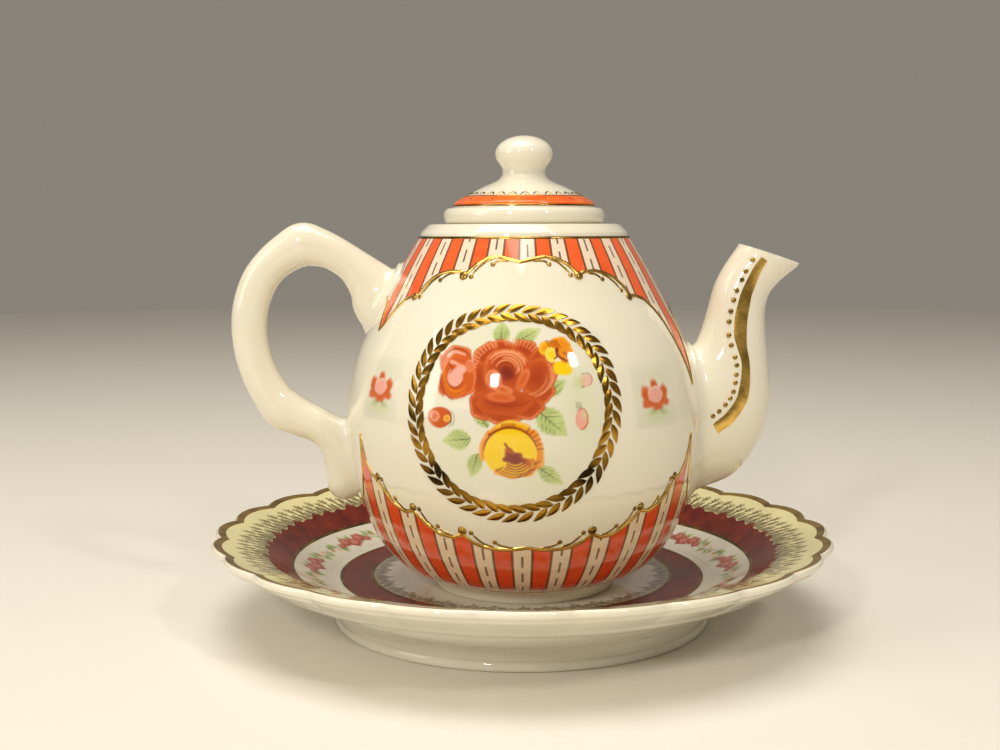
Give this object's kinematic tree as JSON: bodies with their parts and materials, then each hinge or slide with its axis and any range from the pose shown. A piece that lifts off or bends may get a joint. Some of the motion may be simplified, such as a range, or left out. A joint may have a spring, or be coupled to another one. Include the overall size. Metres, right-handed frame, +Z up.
{
  "type": "miniature tea set",
  "caption": "Miniature porcelain teapot with a looped handle, spout and lid on a scalloped saucer, with painted roses in a gilt wreath.",
  "frame": {"origin": "centre of the saucer's foot ring, on the surface that the set stands on", "axes": "+Z up; the spout points along +X, the handle along -X, and the painted front faces -Y"},
  "size_m": [0.1012, 0.1012, 0.0785],
  "materials": {
    "porcelain": "gloss",
    "gilding": "burnished",
    "maroon_enamel": "gloss",
    "vermilion_enamel": "gloss"
  },
  "bodies": {
    "saucer": {"saucer_dish": "porcelain", "saucer_foot_ring": "porcelain", "saucer_outer_band": "maroon_enamel", "saucer_inner_band": "maroon_enamel", "saucer_gilt_lines": "gilding", "saucer_rim_gilding": "gilding"},
    "teapot": {"pot_base": "porcelain", "pot_body": "porcelain", "pot_shoulder": "porcelain", "pot_foot_ring": "porcelain", "mouth_collar": "porcelain", "spout": "porcelain", "handle": "porcelain", "collar_gilt_line": "gilding", "foot_gilt_line": "gilding"},
    "lid": {"lid_dome": "porcelain", "lid_locating_ring": "porcelain", "lid_knob": "porcelain", "lid_enamel_band": "vermilion_enamel"}
  },
  "joints": [
    {"name": "teapot_lift", "type": "slide", "parent": "saucer", "child": "teapot", "axis": [0, 0, 1], "range_m": [0, 0.03]},
    {"name": "lid_lift", "type": "slide", "parent": "teapot", "child": "lid", "axis": [0, 0, 1], "range_m": [0, 0.02]}
  ]
}
